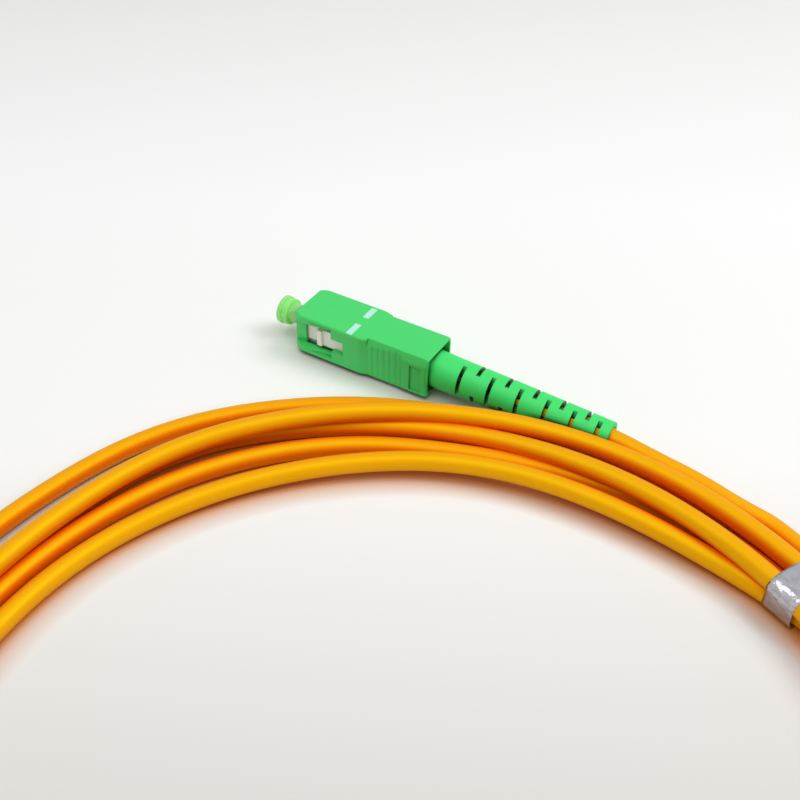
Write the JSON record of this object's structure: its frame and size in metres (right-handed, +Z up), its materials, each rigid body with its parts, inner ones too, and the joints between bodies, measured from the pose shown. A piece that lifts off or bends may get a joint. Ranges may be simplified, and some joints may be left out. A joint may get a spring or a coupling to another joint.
{
  "type": "fibre optic patch cable",
  "caption": "Simplex fibre optic patch cable: green angled-polish push-pull plugs with slotted boots and dust caps on an orange cord coiled into a tied ring.",
  "frame": {"origin": "under the middle of the plug nearest the eye, on the floor below its key", "axes": "+X along that plug from its dust cap to its cord, +Y across it away from the coil, +Z up"},
  "size_m": [0.133, 0.1403, 0.008],
  "materials": {
    "grip_green": "satin",
    "boot_green": "satin",
    "frame_white": "satin",
    "zirconia": "polished",
    "plated_brass": "nickel plated",
    "spring_steel": "bright",
    "liner": "natural",
    "aramid": "matt yarn",
    "buffer": "satin",
    "jacket": "satin",
    "cap": "translucent",
    "tie_foil": "bright foil"
  },
  "bodies": {
    "cable_assembly": {"plug_frame_a": "frame_white", "ferrule_spring_a": "spring_steel", "spring_stop_a": "plated_brass", "liner_tube_a": "liner", "aramid_yarn_a": "aramid", "buffered_fibre_a": "buffer", "cable_jacket_end_a": "jacket", "crimp_sleeve_a": "plated_brass", "strain_boot_a": "boot_green", "plug_frame_b": "frame_white", "ferrule_spring_b": "spring_steel", "spring_stop_b": "plated_brass", "liner_tube_b": "liner", "aramid_yarn_b": "aramid", "buffered_fibre_b": "buffer", "cable_jacket_end_b": "jacket", "crimp_sleeve_b": "plated_brass", "strain_boot_b": "boot_green", "lead_a": "jacket", "lead_b": "jacket", "cable_coil": "jacket", "bundle_tie": "tie_foil"},
    "grip_a": {"grip_housing_a": "grip_green"},
    "ferrule_unit_a": {"ferrule_a": "zirconia", "ferrule_flange_a": "plated_brass"},
    "cap_a": {"dust_cap_a": "cap"},
    "grip_b": {"grip_housing_b": "grip_green"},
    "ferrule_unit_b": {"ferrule_b": "zirconia", "ferrule_flange_b": "plated_brass"},
    "cap_b": {"dust_cap_b": "cap"}
  },
  "joints": [
    {"name": "grip_slide_a", "type": "slide", "parent": "cable_assembly", "child": "grip_a", "axis": [1, 0, 0], "range_m": [-0.001, 0.0014]},
    {"name": "ferrule_float_a", "type": "slide", "parent": "cable_assembly", "child": "ferrule_unit_a", "axis": [1, 0, 0], "range_m": [0, 0.001], "stiffness_N_per_m": 2500, "deforming": ["ferrule_spring_a"]},
    {"name": "cap_pull_a", "type": "slide", "parent": "ferrule_unit_a", "child": "cap_a", "axis": [-1, 0, 0], "range_m": [0, 0.0065]},
    {"name": "grip_slide_b", "type": "slide", "parent": "cable_assembly", "child": "grip_b", "axis": [0.7071, 0.7071, 0], "range_m": [-0.001, 0.0014]},
    {"name": "ferrule_float_b", "type": "slide", "parent": "cable_assembly", "child": "ferrule_unit_b", "axis": [0.7071, 0.7071, 0], "range_m": [0, 0.001], "stiffness_N_per_m": 2500, "deforming": ["ferrule_spring_b"]},
    {"name": "cap_pull_b", "type": "slide", "parent": "ferrule_unit_b", "child": "cap_b", "axis": [-0.7071, -0.7071, 0], "range_m": [0, 0.0065]}
  ]
}
